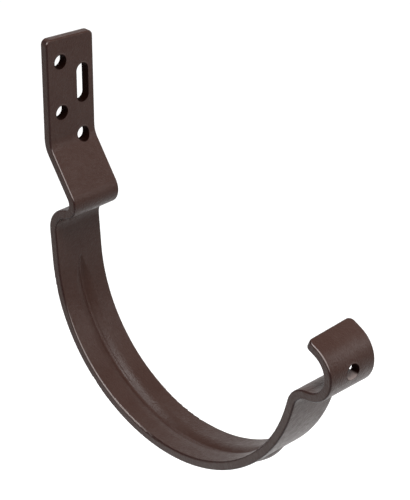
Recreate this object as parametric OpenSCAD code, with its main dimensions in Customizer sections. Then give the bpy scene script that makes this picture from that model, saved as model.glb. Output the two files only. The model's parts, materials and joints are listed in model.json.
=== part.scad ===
// Fascia bracket for a half-round gutter: one flat steel strap, punched, bent cold and ribbed.
// Origin: middle of the plate's back face, which lies on the fascia board.
// +X points away from the board, +Y along the gutter, +Z up.

/* [Strap] */
// Width of the flat strap
strap_w = 25; // [22:0.5:34]
// Thickness of the strap
strap_t = 4; // [3:0.25:5]
// Rounding of the strap's edges, all the way round
edge_r = 0.8; // [0.4:0.1:1.4]
// Corner radius of both cropped ends, seen on the flat
corner_r = 2.5; // [1.5:0.1:5]
// How far the crop at the top runs out of square, in degrees
top_slant = 4.6; // [0:0.1:6]
// How far the crop at the hook's tip runs out of square, in degrees
tip_slant = 2.4; // [0:0.1:4]

/* [Fascia plate] */
// Length of the flat plate, from its top edge down to the first bend
plate_len = 44; // [38:0.5:70]
// Diameter of the screw holes, and width of the screw slot
hole_d = 6.2; // [4.5:0.1:7.5]
// Distance of the two upper screw holes from the middle of the strap
hole_y = 5.4; // [4.5:0.1:7]
// Distance of the slot from the middle of the strap, on the other side
slot_y = 6.2; // [4.5:0.1:7]
// Distance of the third screw hole from the middle of the strap, on the slot's side
third_hole_y = 5.6; // [4.5:0.1:7]
// Depth of the upper screw hole below the top edge
upper_hole_drop = 10.2; // [8:0.2:14]
// Depth of the lower screw hole below the top edge
lower_hole_drop = 33; // [26:0.2:34]
// Depth of the slot's middle below the top edge
slot_drop = 22.8; // [18:0.2:26]
// Length of the slot from end to end
slot_len = 17.4; // [10:0.2:20]
// How far the third screw hole lies below the start of the first bend
third_hole_past = 2; // [-4:0.2:3]

/* [Rear hook] */
// How far the strap leans out from the plate, in degrees
lean_angle = 35; // [25:1:45]
// Inside radius of the bend under the plate
lean_r = 8.7; // [6:0.1:14]
// Gap between the board and the back of the seat
wall_gap = 1.4; // [0:0.1:6]
// Turn of the fold over the gutter's back edge, in degrees
fold_angle = 105; // [95:1:115]
// Inside radius of the fold
fold_r = 3.7; // [2.5:0.1:6]
// Straight length that runs back from the fold towards the board
return_len = 2.9; // [1:0.1:8]
// Inside radius of the bend down into the seat
rear_r = 7.9; // [5:0.1:12]
// Slope of the straight back of the seat away from upright, in degrees
rear_slope = 4.3; // [0:0.1:8]
// Straight length down the back of the seat
rear_len = 15.4; // [10:0.2:30]

/* [Gutter seat] */
// Radius of the seat's inside face on the board's side
seat_rear_r = 64.4; // [60:0.2:72]
// Turn of the arc on the board's side, in degrees
seat_rear_turn = 54.5; // [45:0.5:65]
// Radius of the seat's inside face on the far side
seat_front_r = 70.3; // [64:0.2:78]
// Slope of the seat's far end away from upright, in degrees
front_slope = 14.6; // [10:0.2:20]

/* [Stiffening rib] */
// Depth of the groove pressed into the inside face
rib_depth = 1.5; // [1:0.1:2.6]
// Radius of the groove across the strap
rib_r = 1.6; // [1.2:0.1:3]
// Rounding of the groove's lips
lip_r = 8; // [5:0.1:10]
// Rounding where the bulge meets the outside face
skirt_r = 4; // [1:0.1:6]
// Length of seat above the rib's full depth
rib_rear_gap = 12; // [10:0.5:30]
// Length of seat beyond the rib's full depth
rib_front_gap = 46; // [36:0.5:80]
// Radius of the arc on which the rib runs out at each end
runout_r = 28; // [25:0.5:50]

/* [Front hook] */
// Straight length from the seat up to the crest
front_len = 2; // [0.5:0.1:10]
// Inside radius of the crest
crest_r = 7.1; // [5:0.1:10]
// Rise of the shelf between the crest and the bead hook, in degrees
shelf_slope = 4.8; // [0:0.2:15]
// Straight length of that shelf
shelf_len = 0.9; // [0.5:0.1:5]
// Inside radius of the hook that takes the gutter's front bead
hook_r = 9.1; // [7:0.1:12]
// Turn of the bead hook, in degrees
hook_turn = 151; // [140:1:170]
// Straight length of the hook's tip, up to its rounded corners
tip_len = 3.4; // [1:0.1:6]
// Diameter of the hole through the hook's front
hook_hole_d = 6.8; // [4:0.1:8]
// Tilt of that hole above level, in degrees
hook_hole_tilt = 0; // [-20:1:20]

/* [Hidden] */
$fn = 96;

// Baked brown finish
coat_colour = [0.30, 0.25, 0.24];
// Every other stretch of the strap is this much larger all round, and the hook's tip twice this
// much, so that each fuses with the next
hair = 0.004;
// The rear part of the rib is this much larger than its front part, for the same reason
rib_hair = 0.03;
// Length by which such a stretch overlaps its neighbours
lap = 0.05;
// How far a drill reaches past the faces that it goes through
overcut = 4;
// How far the groove's lips and the bulge's skirts cross the faces that they run into
blend = 0.006;
// How far the rib has lifted clear of the strap where a run-out stops
runout_clear = 0.3;
// Depth inside the strap's outside face at which the bulge is rooted
bulge_root = 1;
// How far the groove's section rises clear of the strap's inside face
groove_rise = 1;

// The straight that leans out is as long as it takes to bring the back of the seat to wall_gap.
lean_heading = lean_angle - 90;
return_heading = lean_heading - fold_angle;
lean_bend_reach = (lean_r + strap_t / 2) * (1 - cos(lean_angle));
fold_reach = (fold_r + strap_t / 2) * (sin(lean_heading) - sin(return_heading));
return_reach = return_len * cos(return_heading);
rear_bend_reach = -(rear_r + strap_t / 2) * sin(return_heading) - rear_r - strap_t;
other_reach = strap_t / 2 + lean_bend_reach + fold_reach + return_reach + rear_bend_reach;
lean_len = (wall_gap - other_reach) / sin(lean_angle);

rear_turn = fold_angle - lean_angle + rear_slope;
seat_front_turn = 180 - rear_slope - front_slope - seat_rear_turn;
crest_turn = 90 - front_slope - shelf_slope;

// Bending schedule, from the plate's top to the hook's tip. Each row is a straight length,
// the turn that follows it, positive towards the gutter, and the inside radius of that turn.
REAR_HOOK_STEPS = [
    [plate_len, lean_angle, lean_r],
    [lean_len, -fold_angle, fold_r],
    [return_len, rear_turn, rear_r],
];
SEAT_STEPS = [
    [rear_len, seat_rear_turn, seat_rear_r],
    [0, seat_front_turn, seat_front_r],
];
FRONT_HOOK_STEPS = [
    [front_len, -crest_turn, crest_r],
    [shelf_len, hook_turn, hook_r],
    [tip_len, 0, 0],
];
STEPS = concat(REAR_HOOK_STEPS, SEAT_STEPS, FRONT_HOOK_STEPS);
SEAT_REAR = len(REAR_HOOK_STEPS);
SEAT_FRONT = SEAT_REAR + 1;
TIP = len(STEPS) - 1;
HOOK = TIP - 1;

// The rib's section is drawn across the strap, with X counted outwards from the inside face.
groove_x = rib_depth - rib_r;
bulge_r = rib_r + strap_t;
// Where the lips and skirts leave the flat faces
lip_y = sqrt(pow(rib_r + lip_r, 2) - pow(lip_r - groove_x, 2));
skirt_y = sqrt(pow(bulge_r + skirt_r, 2) - pow(strap_t + skirt_r - groove_x, 2));
// Where they meet the groove's and the bulge's own arcs
lip_x = groove_x + rib_r * (lip_r - groove_x) / (rib_r + lip_r);
skirt_x = groove_x + bulge_r * (strap_t + skirt_r - groove_x) / (bulge_r + skirt_r);

// Polar angles at which the rib's full depth starts, passes to the other arc, and stops
rib_from = first_angle(SEAT_REAR) + arc_turn(rib_rear_gap, seat_rear_r);
rib_joint = first_angle(SEAT_FRONT);
rib_to = rib_joint + seat_front_turn - arc_turn(rib_front_gap, seat_front_r);

// The schedule is laid out in the side view, seen from -Y: X forward, Y up.
function dir(a) = [cos(a), sin(a)];
function heading(i) = i == 0 ? -90 : heading(i - 1) + STEPS[i - 1][1];
function turn_side(i) = STEPS[i][1] < 0 ? -1 : 1;
function middle_r(i) = STEPS[i][2] + strap_t / 2;
function step_start(i) = i == 0 ? [strap_t / 2, plate_len / 2] : bend_end(i - 1);
function bend_start(i) = step_start(i) + STEPS[i][0] * dir(heading(i));
function bend_centre(i) = bend_start(i) + turn_side(i) * middle_r(i) * dir(heading(i) + 90);
function bend_end(i) = bend_centre(i) - turn_side(i) * middle_r(i) * dir(heading(i + 1) + 90);
// Polar angle about its centre at which a turn begins, or ends where it turns the other way
function first_angle(i) = STEPS[i][1] > 0 ? heading(i) - 90 : heading(i + 1) + 90;
function arc_turn(length, r) = length / r * 180 / PI;
// Turn about its own centre after which a run-out has left an arc of radius r
function runout_turn(r) = acos(
    (pow(r - rib_depth - runout_clear, 2) - pow(r - runout_r, 2) - pow(runout_r, 2))
    / (2 * (r - runout_r) * runout_r));

module strap_section(grow) {
    square([strap_t - 2 * edge_r, strap_w + 2 * grow], center = true);
    square([strap_t + 2 * grow, strap_w - 2 * edge_r], center = true);
    for (sx = [-1, 1], sy = [-1, 1])
        translate([sx * (strap_t / 2 - edge_r), sy * (strap_w / 2 - edge_r)]) circle(edge_r + grow);
}

// Half of the strap's section along a cropped end, from the corner's middle out to the edge.
module end_section(root) {
    translate([-root, -strap_t / 2]) square([root + corner_r - edge_r, strap_t]);
    translate([0, edge_r - strap_t / 2]) square([corner_r, strap_t - 2 * edge_r]);
    for (s = [-1, 1])
        translate([corner_r - edge_r, s * (strap_t / 2 - edge_r)]) circle(edge_r);
}

// Cropped end with two rounded corners, starting on the line through their middles.
module cropped_end(slant) {
    between_corners = (strap_w - 2 * corner_r) / cos(slant);
    linear_extrude(between_corners, center = true) end_section(lap);
    for (s = [0, 1])
        mirror([0, 0, s])
            translate([0, 0, between_corners / 2])
                rotate([-90, 0, 0])
                    rotate([0, 0, -90])
                        rotate_extrude(angle = 90 + arc_turn(lap, corner_r)) end_section(0);
}

module place(point, angle) {
    translate([point.x, point.y, 0])
        rotate([0, 0, angle]) children();
}

// Frame on the slanting line through the middles of an end's corners, at a length along the strap.
module corner_line(length, slant) {
    translate([length, 0, 0])
        rotate([0, -slant, 0]) children();
}

module offcut() {
    translate([0, -strap_t, -strap_w]) cube([strap_w, 2 * strap_t, 2 * strap_w]);
}

module straight(i, grow) {
    near = i == 0 ? 0 : -sign(grow) * lap;
    far = STEPS[i][0] + (i == TIP ? corner_r : sign(grow) * lap);
    top_corners = corner_r / cos(top_slant);
    place(step_start(i), heading(i)) {
        difference() {
            translate([near, 0, 0])
                rotate([90, 0, 90]) linear_extrude(far - near) strap_section(grow);
            if (i == 0)
                corner_line(top_corners, top_slant) mirror([1, 0, 0]) offcut();
            if (i == TIP)
                corner_line(tip_len, tip_slant) offcut();
        }
        if (i == 0)
            corner_line(top_corners, top_slant) mirror([1, 0, 0]) cropped_end(top_slant);
        if (i == TIP)
            corner_line(tip_len, tip_slant) cropped_end(tip_slant);
    }
}

module bend(i, grow) {
    lap_turn = sign(grow) * arc_turn(lap, middle_r(i));
    place(bend_centre(i), first_angle(i) - lap_turn)
        rotate_extrude(angle = abs(STEPS[i][1]) + 2 * lap_turn)
            translate([middle_r(i), 0]) strap_section(grow);
}

module bent_strap() {
    for (i = [0 : TIP]) {
        if (STEPS[i][0] > 0)
            straight(i, i == TIP ? 2 * hair : i <= SEAT_REAR ? hair : 0);
        if (STEPS[i][1] != 0)
            bend(i, i <= SEAT_REAR ? 0 : hair);
    }
}

module groove_section(grow) {
    translate([groove_x, 0]) circle(rib_r + grow);
    difference() {
        translate([-groove_rise, -lip_y]) square([groove_rise + lip_x, 2 * lip_y]);
        for (s = [-1, 1])
            translate([lip_r - blend - grow, s * lip_y]) circle(lip_r);
    }
}

module bulge_section(grow) {
    difference() {
        intersection() {
            union() {
                translate([groove_x, 0]) circle(bulge_r + grow);
                translate([0, -skirt_y]) square([skirt_x, 2 * skirt_y]);
            }
            translate([strap_t - bulge_root, -strap_w / 2]) square(strap_w);
        }
        for (s = [-1, 1])
            translate([strap_t + skirt_r - blend + grow, s * skirt_y]) circle(skirt_r);
    }
}

// Sweeps the first child along the rib's front part, and the second, slightly larger, along its rear.
module along_rib() {
    place(bend_centre(SEAT_REAR), rib_from) {
        rotate_extrude(angle = rib_joint - rib_from + arc_turn(lap, seat_rear_r))
            translate([seat_rear_r, 0]) children(1);
        runout(seat_rear_r, -1) children(1);
    }
    place(bend_centre(SEAT_FRONT), rib_to) {
        mirror([0, 1, 0])
            rotate_extrude(angle = rib_to - rib_joint)
                translate([seat_front_r, 0]) children(0);
        runout(seat_front_r, 1) children(0);
    }
}

// Run-out on a tighter arc, from the end of the full depth on an arc of radius r.
module runout(r, side) {
    translate([r - runout_r, 0, 0])
        mirror([0, side < 0 ? 1 : 0, 0])
            rotate_extrude(angle = runout_turn(r)) translate([runout_r, 0]) children();
}

module screw_hole(y, drop) {
    translate([-overcut, y, plate_len / 2 - drop])
        rotate([0, 90, 0]) cylinder(h = strap_t + 2 * overcut, d = hole_d);
}

module screw_slot() {
    span = slot_len - hole_d;
    for (s = [-1, 1])
        screw_hole(slot_y, slot_drop + s * span / 2);
    translate([-overcut, slot_y - hole_d / 2, plate_len / 2 - slot_drop - span / 2])
        cube([strap_t + 2 * overcut, hole_d, span]);
}

module hook_hole() {
    place(bend_centre(HOOK), hook_hole_tilt)
        translate([hook_r - overcut, 0, 0])
            rotate([0, 90, 0]) cylinder(h = strap_t + 2 * overcut, d = hook_hole_d);
}

module bracket() {
    color(coat_colour)
        difference() {
            rotate([90, 0, 0])
                difference() {
                    union() {
                        bent_strap();
                        along_rib() { bulge_section(0); bulge_section(rib_hair); }
                    }
                    along_rib() { groove_section(0); groove_section(rib_hair); }
                    hook_hole();
                }
            screw_hole(-hole_y, upper_hole_drop);
            screw_hole(-hole_y, lower_hole_drop);
            screw_hole(third_hole_y, plate_len + third_hole_past);
            screw_slot();
        }
}

bracket();
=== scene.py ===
import json
import math

import bpy
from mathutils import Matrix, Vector


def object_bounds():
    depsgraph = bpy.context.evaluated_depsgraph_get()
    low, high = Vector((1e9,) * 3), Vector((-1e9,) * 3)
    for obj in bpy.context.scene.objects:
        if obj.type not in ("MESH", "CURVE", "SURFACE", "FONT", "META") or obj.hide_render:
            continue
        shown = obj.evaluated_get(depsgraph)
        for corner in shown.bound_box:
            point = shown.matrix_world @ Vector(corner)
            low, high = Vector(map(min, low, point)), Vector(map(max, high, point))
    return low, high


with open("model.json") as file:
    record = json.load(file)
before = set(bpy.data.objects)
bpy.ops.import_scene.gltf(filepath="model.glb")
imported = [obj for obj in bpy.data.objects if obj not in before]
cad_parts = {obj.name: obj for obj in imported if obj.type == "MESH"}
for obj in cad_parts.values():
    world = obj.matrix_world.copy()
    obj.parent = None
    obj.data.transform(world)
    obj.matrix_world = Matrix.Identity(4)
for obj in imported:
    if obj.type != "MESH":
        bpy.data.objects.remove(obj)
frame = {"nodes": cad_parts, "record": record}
cad_low, cad_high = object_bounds()

# Camera: a long lens that looks down on the bracket from its open side, towards the board.
# It is aimed at the middle of the trough, so that plate, seat and hook all show.
camera_data = bpy.data.cameras.new("camera")
camera_data.lens = 156.7
camera_data.sensor_width = 36
camera = bpy.data.objects.new("camera", camera_data)
bpy.context.scene.collection.objects.link(camera)
azimuth, elevation = math.radians(46.1), math.radians(28.54)
aim = Vector((0.0838, 0, -0.0466))
camera_distance = 0.872
forward = Vector((
    -math.sin(azimuth) * math.cos(elevation),
    math.cos(azimuth) * math.cos(elevation),
    -math.sin(elevation),
))
camera.location = aim - camera_distance * forward
camera.rotation_euler = forward.to_track_quat("-Z", "Y").to_euler()
bpy.context.scene.camera = camera

# Bracket: one flat steel strap, punched, bent cold and ribbed, then powder coated and baked.
# The coat is a satin dark brown with the fine grain of baked powder. Its rounded edges and the walls
# of its holes carry painted shade, nearly black in the holes, with painted highlights on the edges'
# upturned crowns, the holes' upper lips and the upward wall of the hook's hole.
steel = frame["nodes"]["bracket"]
mounts = {mount["name"]: mount for mount in frame["record"]["mounts"]}
MM = 0.001


# Node group with named inputs and outputs, for one effect of the coat.
def new_group(name, inputs, outputs):
    group = bpy.data.node_groups.new(name, "ShaderNodeTree")
    for socket, kind, value in inputs:
        item = group.interface.new_socket(socket, in_out="INPUT", socket_type=kind)
        if value is not None:
            item.default_value = value
    for socket, kind in outputs:
        group.interface.new_socket(socket, in_out="OUTPUT", socket_type=kind)
    entry = group.nodes.new("NodeGroupInput")
    way_out = group.nodes.new("NodeGroupOutput")
    return group, entry.outputs, way_out.inputs


# Links a socket, or sets a plain value.
def wire(tree, value, socket):
    if isinstance(value, bpy.types.NodeSocket):
        tree.links.new(value, socket)
    else:
        socket.default_value = value


def scalar(tree, operation, first, second=0.0):
    node = tree.nodes.new("ShaderNodeMath")
    node.operation = operation
    wire(tree, first, node.inputs[0])
    wire(tree, second, node.inputs[1])
    return node.outputs[0]


def vector(tree, operation, first, second=(0, 0, 0)):
    node = tree.nodes.new("ShaderNodeVectorMath")
    node.operation = operation
    wire(tree, first, node.inputs[0])
    wire(tree, second, node.inputs[1])
    return node.outputs["Value" if operation == "LENGTH" else "Vector"]


def along(tree, value, axis):
    node = tree.nodes.new("ShaderNodeSeparateXYZ")
    wire(tree, value, node.inputs[0])
    return node.outputs[axis]


def scaled(tree, value, factor):
    node = tree.nodes.new("ShaderNodeVectorMath")
    node.operation = "SCALE"
    wire(tree, value, node.inputs[0])
    wire(tree, factor, node.inputs["Scale"])
    return node.outputs["Vector"]


# Smooth step from low at start to high at end, either of which may be the larger.
def ramp(tree, value, start, end, low=0.0, high=1.0):
    node = tree.nodes.new("ShaderNodeMapRange")
    node.interpolation_type = "SMOOTHSTEP"
    wire(tree, value, node.inputs["Value"])
    wire(tree, start, node.inputs["From Min"])
    wire(tree, end, node.inputs["From Max"])
    wire(tree, low, node.inputs["To Min"])
    wire(tree, high, node.inputs["To Max"])
    return node.outputs["Result"]


def noise(tree, place, detail, roughness):
    node = tree.nodes.new("ShaderNodeTexNoise")
    wire(tree, place, node.inputs["Vector"])
    node.inputs["Scale"].default_value = 1
    node.inputs["Detail"].default_value = detail
    node.inputs["Roughness"].default_value = roughness
    return node.outputs["Fac"]


# One colour laid over another as far as the mask says.
def blended(tree, mask, below, above):
    node = tree.nodes.new("ShaderNodeMix")
    node.data_type = "RGBA"
    wire(tree, mask, node.inputs["Factor"])
    wire(tree, below, node.inputs["A"])
    wire(tree, above, node.inputs["B"])
    return node.outputs["Result"]


# Grain of the baked powder: a fine height, a mottle, slow clouds, and a few stray nibs.
def powder_grain():
    group, given, result = new_group(
        "powder_grain",
        [("Position", "NodeSocketVector", None), ("Grain Size", "NodeSocketFloat", 0.85 * MM),
         ("Cloud Size", "NodeSocketFloat", 12 * MM), ("Nib Spacing", "NodeSocketFloat", 23 * MM)],
        [("Height", "NodeSocketFloat"), ("Mottle", "NodeSocketFloat"), ("Cloud", "NodeSocketFloat"),
         ("Nibs", "NodeSocketFloat")])
    per_grain = scalar(group, "DIVIDE", 1.0, given["Grain Size"])
    fine = scaled(group, given["Position"], per_grain)
    group.links.new(noise(group, fine, 3, 0.6), result["Height"])
    mottles_per_grain = 0.38
    coarse = scaled(group, given["Position"], scalar(group, "MULTIPLY", per_grain, mottles_per_grain))
    group.links.new(ramp(group, noise(group, coarse, 4, 0.7), 0.3, 0.7), result["Mottle"])
    slow = scaled(group, given["Position"], scalar(group, "DIVIDE", 1.0, given["Cloud Size"]))
    group.links.new(ramp(group, noise(group, slow, 2, 0.5), 0.32, 0.68), result["Cloud"])
    cells = group.nodes.new("ShaderNodeTexVoronoi")
    per_cell = scalar(group, "DIVIDE", 1.0, given["Nib Spacing"])
    group.links.new(scaled(group, given["Position"], per_cell), cells.inputs["Vector"])
    cells.inputs["Scale"].default_value = 1
    group.links.new(ramp(group, cells.outputs["Distance"], 0.042, 0.022), result["Nibs"])
    return group


# A punched hole or slot: how much a point belongs to the wall inside it, to the part of that wall
# that looks up, and to the upper part of the rolled lip around it, where light catches.
def punched_hole():
    group, given, result = new_group(
        "punched_hole",
        [("Position", "NodeSocketVector", None), ("Centre", "NodeSocketVector", (0, 0, 0)),
         ("Half Span", "NodeSocketVector", (0, 0, 0)), ("Radius", "NodeSocketFloat", 3 * MM),
         ("Upward", "NodeSocketFloat", 0), ("Open", "NodeSocketFloat", 0)],
        [("Dark Wall", "NodeSocketFloat"), ("Lit Wall", "NodeSocketFloat"),
         ("Upper Lip", "NodeSocketFloat")])
    offset = vector(group, "SUBTRACT", given["Position"], given["Centre"])
    outside = vector(group, "SUBTRACT", vector(group, "ABSOLUTE", offset), given["Half Span"])
    distance = vector(group, "LENGTH", vector(group, "MAXIMUM", outside, (0, 0, 0)))
    beyond = scalar(group, "SUBTRACT", distance, given["Radius"])

    wall = ramp(group, beyond, 0.3 * MM, 0.02 * MM)
    lit = scalar(group, "MULTIPLY", ramp(group, given["Upward"], 0.35, 0.75), given["Open"])
    unlit = scalar(group, "SUBTRACT", 1.0, lit)
    group.links.new(scalar(group, "MULTIPLY", wall, lit), result["Lit Wall"])
    group.links.new(scalar(group, "MULTIPLY", wall, unlit), result["Dark Wall"])

    above = scalar(group, "SUBTRACT", along(group, offset, "Z"), along(group, given["Half Span"], "Z"))
    upper = ramp(group, scalar(group, "DIVIDE", above, given["Radius"]), 0.5, 1.1)
    rise = ramp(group, beyond, 0.1 * MM, 0.4 * MM)
    fall = ramp(group, beyond, 1.0 * MM, 0.5 * MM)
    lip = scalar(group, "MULTIPLY", rise, fall)
    group.links.new(scalar(group, "MULTIPLY", lip, upper), result["Upper Lip"])
    return group


# The rounded long edges of a strap, found from how far out they lie and which way they face.
def strap_arris():
    group, given, result = new_group(
        "strap_arris",
        [("Position", "NodeSocketVector", None), ("Normal", "NodeSocketVector", None),
         ("Half Width", "NodeSocketFloat", 12.5 * MM), ("Rounding", "NodeSocketFloat", 0.8 * MM)],
        [("Arris", "NodeSocketFloat")])
    out = along(group, vector(group, "ABSOLUTE", given["Position"]), "Y")
    sideways = along(group, vector(group, "ABSOLUTE", given["Normal"]), "Y")
    inset = scalar(group, "SUBTRACT", given["Half Width"], out)
    near_edge = ramp(group, scalar(group, "DIVIDE", inset, given["Rounding"]), 1.6, 0.9)
    turned = ramp(group, sideways, 0.05, 0.45)
    not_side = ramp(group, sideways, 0.99, 0.8)
    both = scalar(group, "MULTIPLY", turned, not_side)
    group.links.new(scalar(group, "MULTIPLY", both, near_edge), result["Arris"])
    return group


def placed_group(tree, group, settings):
    node = tree.nodes.new("ShaderNodeGroup")
    node.node_tree = group
    for name, value in settings.items():
        wire(tree, value, node.inputs[name])
    return node.outputs


# The strongest dark wall, lit wall and upper lip of all the screw holes and the slot. Only the
# hook's hole is open enough to the sky for light to reach its wall.
def hole_masks(tree, position, upward):
    hole = punched_hole()
    half_depth = 6 * MM
    masks = {"Dark Wall": 0.0, "Lit Wall": 0.0, "Upper Lip": 0.0}
    for name in ("fascia_screws", "third_screw", "adjusting_slot", "bead_screw"):
        x, y, z = mounts[name]["pos_m"]
        sizes = mounts[name]["dims"]
        radius = sizes["hole_r_mm"] * MM
        pitch = sizes["spacing_y_mm"] * MM
        half_run = max(sizes.get("slot_length_mm", 0) * MM / 2 - radius, 0)
        for side in ((-1, 1) if pitch else (0,)):
            outputs = placed_group(tree, hole, {
                "Position": position, "Centre": (x, y, z + side * pitch / 2),
                "Half Span": (half_depth, 0, half_run), "Radius": radius,
                "Upward": upward, "Open": 1.0 if name == "bead_screw" else 0.0})
            for kind in masks:
                masks[kind] = scalar(tree, "MAXIMUM", masks[kind], outputs[kind])
    return masks


def coated_steel():
    deep_brown = (0.0230, 0.0078, 0.0046, 1)
    grey_brown = (0.0310, 0.0145, 0.0108, 1)
    painted_edge_shade = (0.0120, 0.0020, 0.0010, 1)
    painted_edge_highlight = (0.170, 0.140, 0.132, 1)
    painted_hole_shade = (0.0100, 0.0026, 0.0014, 1)
    painted_lip_highlight = (0.060, 0.042, 0.036, 1)
    painted_lit_wall = (0.200, 0.160, 0.150, 1)
    nib_grey = (0.11, 0.09, 0.08, 1)
    mottle_share = 0.6
    arris_cover = 0.95
    nib_cover = 0.5
    lip_cover = 0.45
    material = bpy.data.materials.new("coated_steel")
    material.use_nodes = True
    tree = material.node_tree
    coat = tree.nodes["Principled BSDF"]
    position = tree.nodes.new("ShaderNodeTexCoord").outputs["Object"]
    normal = tree.nodes.new("ShaderNodeNewGeometry").outputs["Normal"]
    upward = along(tree, normal, "Z")
    forward_facing = along(tree, normal, "X")

    grain = placed_group(tree, powder_grain(), {"Position": position})
    arris = placed_group(tree, strap_arris(), {
        "Position": position, "Normal": normal, "Half Width": cad_high[1]})["Arris"]
    holes = hole_masks(tree, position, upward)

    mottle = scalar(tree, "MULTIPLY", grain["Mottle"], mottle_share)
    cloud = scalar(tree, "MULTIPLY", grain["Cloud"], 1 - mottle_share)
    colour = blended(tree, scalar(tree, "ADD", mottle, cloud), deep_brown, grey_brown)

    # The edges carry painted light: a painted highlight, pale along their crown where they face up and
    # out, and a painted dark shade elsewhere.
    up_and_out = scalar(
        tree, "MULTIPLY", ramp(tree, upward, 0.26, 0.44), ramp(tree, forward_facing, 0.15, 0.35))
    crown = scalar(tree, "POWER", arris, 3.0)
    edge = blended(tree, scalar(tree, "MULTIPLY", up_and_out, crown), painted_edge_shade, painted_edge_highlight)
    colour = blended(tree, scalar(tree, "MULTIPLY", arris, arris_cover), colour, edge)

    colour = blended(tree, scalar(tree, "MULTIPLY", grain["Nibs"], nib_cover), colour, nib_grey)
    # Painted highlight: the upper lips of the holes are coloured paler.
    colour = blended(tree, scalar(tree, "MULTIPLY", holes["Upper Lip"], lip_cover), colour, painted_lip_highlight)
    # Painted light: the upward-facing wall of the hook's hole is coloured pale.
    colour = blended(tree, holes["Lit Wall"], colour, painted_lit_wall)
    # Painted shade: the walls inside the holes are coloured near-black.
    colour = blended(tree, holes["Dark Wall"], colour, painted_hole_shade)
    tree.links.new(colour, coat.inputs["Base Color"])

    # The hole walls under the painted shade are made metallic, so they reflect nothing but their own
    # painted near-black.
    satin = ramp(tree, grain["Mottle"], 0, 1, 0.42, 0.33)
    smoothed = scalar(tree, "SUBTRACT", satin, scalar(tree, "MULTIPLY", arris, 0.10))
    tree.links.new(scalar(tree, "MAXIMUM", smoothed, holes["Dark Wall"]), coat.inputs["Roughness"])
    tree.links.new(holes["Dark Wall"], coat.inputs["Metallic"])
    coat.inputs["Specular IOR Level"].default_value = 0.16

    bump = tree.nodes.new("ShaderNodeBump")
    bump.inputs["Strength"].default_value = 1.0
    bump.inputs["Distance"].default_value = 0.2 * MM
    tree.links.new(grain["Height"], bump.inputs["Height"])
    tree.links.new(bump.outputs["Normal"], coat.inputs["Normal"])
    return material


steel.data.materials.clear()
steel.data.materials.append(coated_steel())

# Floor: one wide plain sheet of white paper, well below the bracket, which keeps its soft shadow.
# It glows a little to the camera and in reflections, so that it shows as clean white there.
floor_drop = 0.12
floor_reach = 4
floor_z = cad_low[2] - floor_drop
floor_mesh = bpy.data.meshes.new("floor")
corners = [(-1, -1), (1, -1), (1, 1), (-1, 1)]
floor_points = [(floor_reach * x, floor_reach * y, floor_z) for x, y in corners]
floor_mesh.from_pydata(floor_points, [], [(0, 1, 2, 3)])
floor = bpy.data.objects.new("floor", floor_mesh)
bpy.context.scene.collection.objects.link(floor)


# 1 for a ray from the camera, a reflection or a glass, and 0 for a ray that only gathers light.
def seen_directly(tree):
    path = tree.nodes.new("ShaderNodeLightPath")
    seen = scalar(tree, "MAXIMUM", path.outputs["Is Camera Ray"], path.outputs["Is Glossy Ray"])
    return scalar(tree, "MAXIMUM", seen, path.outputs["Is Transmission Ray"])


paper = bpy.data.materials.new("floor_paper")
paper.use_nodes = True
sheet = paper.node_tree.nodes["Principled BSDF"]
sheet.inputs["Base Color"].default_value = (0.5, 0.5, 0.5, 1)
sheet.inputs["Roughness"].default_value = 0.9
sheet.inputs["Specular IOR Level"].default_value = 0
sheet.inputs["Emission Color"].default_value = (1, 1, 1, 1)
paper_glow = 0.68
glow = scalar(paper.node_tree, "MULTIPLY", seen_directly(paper.node_tree), paper_glow)
paper.node_tree.links.new(glow, sheet.inputs["Emission Strength"])
floor_mesh.materials.append(paper)

# Light: a white room, dimmer as a lamp than it looks, and seven soft boxes. Two overhead draw the
# shine along the groove, one in front lights the plate, one at the side lights the hook, and three
# small ones near the paper lift the narrow sides, the trough's bottom and what faces down.
world = bpy.data.worlds.new("room")
world.use_nodes = True
bpy.context.scene.world = world
walls = world.node_tree.nodes["Background"]
walls.inputs["Color"].default_value = (1, 1, 1, 1)
room_light = 0.3
room_look = 1.0
strength = ramp(world.node_tree, seen_directly(world.node_tree), 0, 1, room_light, room_look)
world.node_tree.links.new(strength, walls.inputs["Strength"])


# Square lamp of a size in metres and a power in watts, a distance off in a direction from what it
# is aimed at.
def soft_box(name, size, power, direction, distance, aim_at):
    lamp = bpy.data.lights.new(name, "AREA")
    lamp.size = size
    lamp.energy = power
    box = bpy.data.objects.new(name, lamp)
    towards = Vector(direction).normalized()
    box.location = aim_at + distance * towards
    box.rotation_euler = (-towards).to_track_quat("-Z", "Y").to_euler()
    box.visible_camera = False
    bpy.context.scene.collection.objects.link(box)


hook = Vector(mounts["bead_hook"]["pos_m"])
under_hook = hook - Vector((0.006, 0.008, 0.020))
trough_side = hook - Vector((0.070, 0, 0.050))
trough_bottom = hook - Vector((0.060, 0, 0.075))
soft_box("overhead_front", 0.4, 8.0, (0.42, -0.24, 0.87), 0.95, aim)
soft_box("overhead_rear", 0.4, 7.5, (0.04, -0.23, 0.97), 0.95, aim)
soft_box("front", 0.3, 1.6, (0.80, -0.12, 0.58), 0.90, aim)
soft_box("fill", 0.08, 0.05, (-0.40, -0.78, -0.48), 0.16, trough_side)
soft_box("back", 0.10, 0.03, (-0.63, 0.61, 0.48), 0.25, trough_bottom)
soft_box("side", 0.17, 0.5, (0.58, 0.66, 0.44), 0.35, hook)
soft_box("low", 0.06, 0.010, (0.38, 0.61, -0.70), 0.12, under_hook)

bpy.context.scene.view_settings.view_transform = "Standard"
